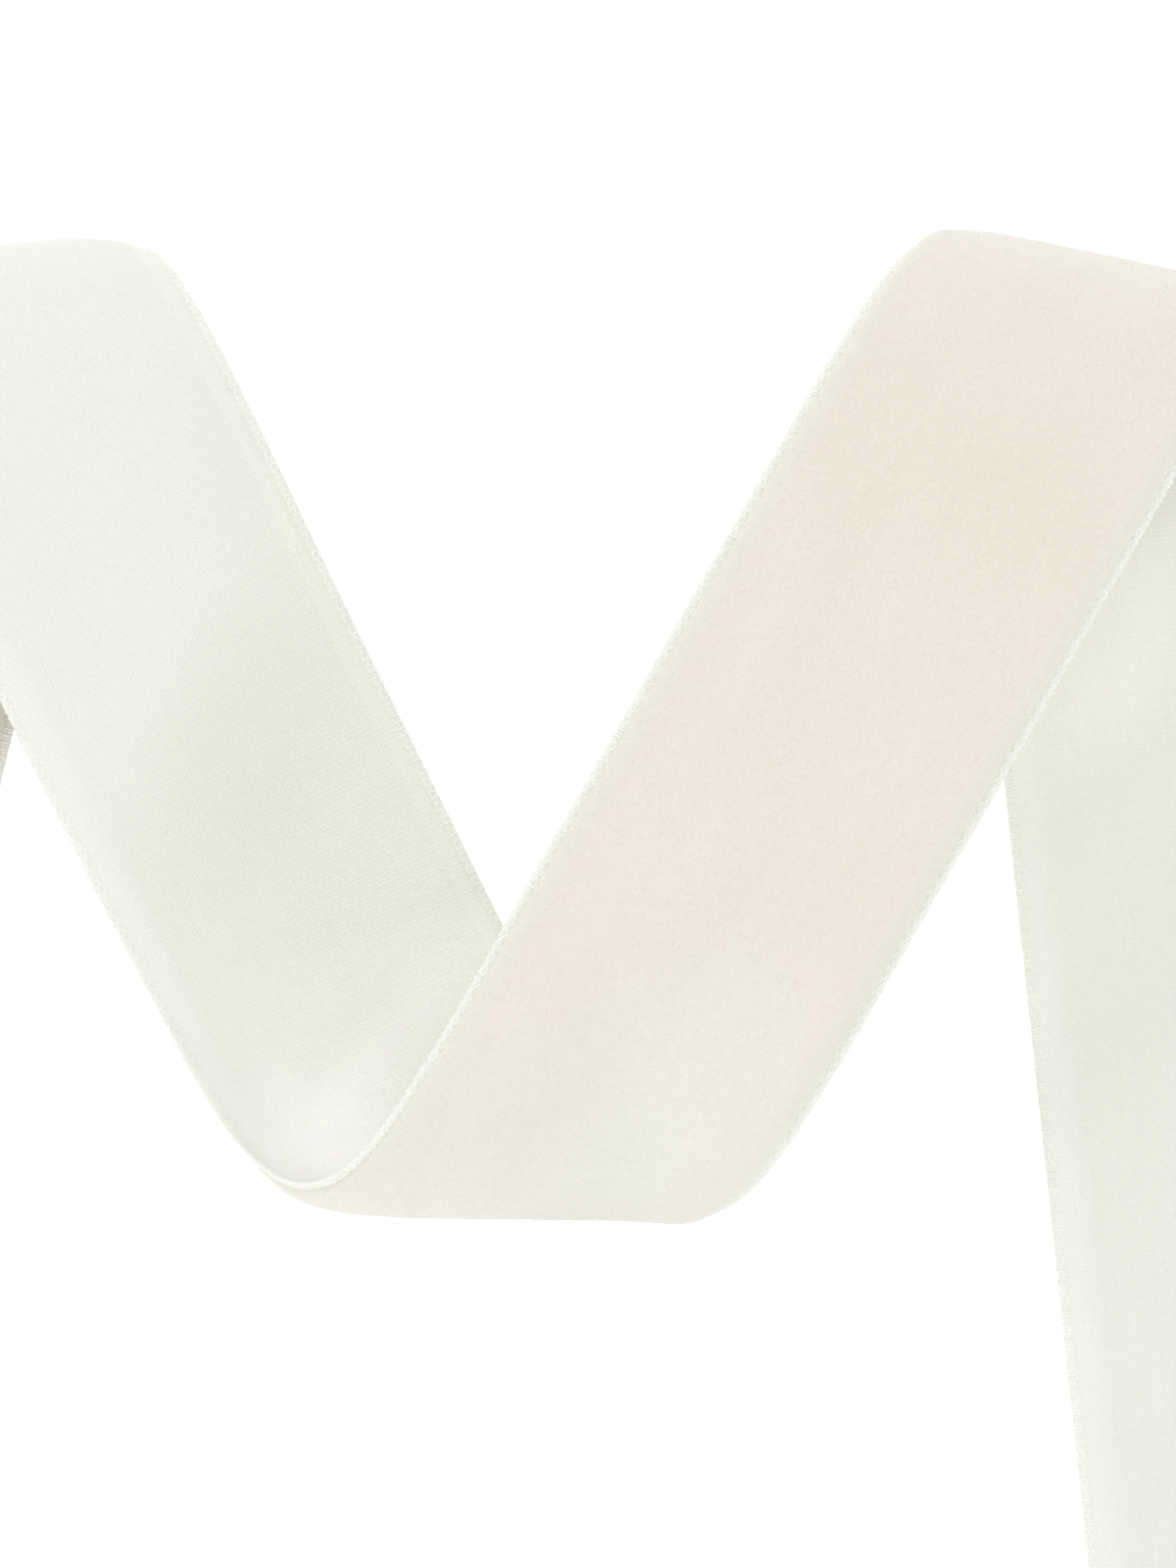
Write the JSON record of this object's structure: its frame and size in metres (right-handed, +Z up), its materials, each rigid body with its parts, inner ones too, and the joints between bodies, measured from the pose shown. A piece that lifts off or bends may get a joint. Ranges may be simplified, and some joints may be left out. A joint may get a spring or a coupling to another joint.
{
  "type": "curled length of velvet ribbon",
  "caption": "Flat length of woven velvet ribbon lying on a surface in three loops, pile face and woven back up by turns.",
  "frame": {"origin": "middle of the outline seen from above, on the surface that the ribbon lies on", "axes": "+X along the longest extent, from the leg to the tail; +Y towards the two upper loops; +Z up from the surface"},
  "size_m": [0.138, 0.1034, 0.023],
  "materials": {
    "velvet": "ivory white cut pile on a plain woven ground, with a firm woven selvedge along both edges"
  },
  "bodies": {
    "root": {"ribbon": "velvet"}
  },
  "joints": []
}
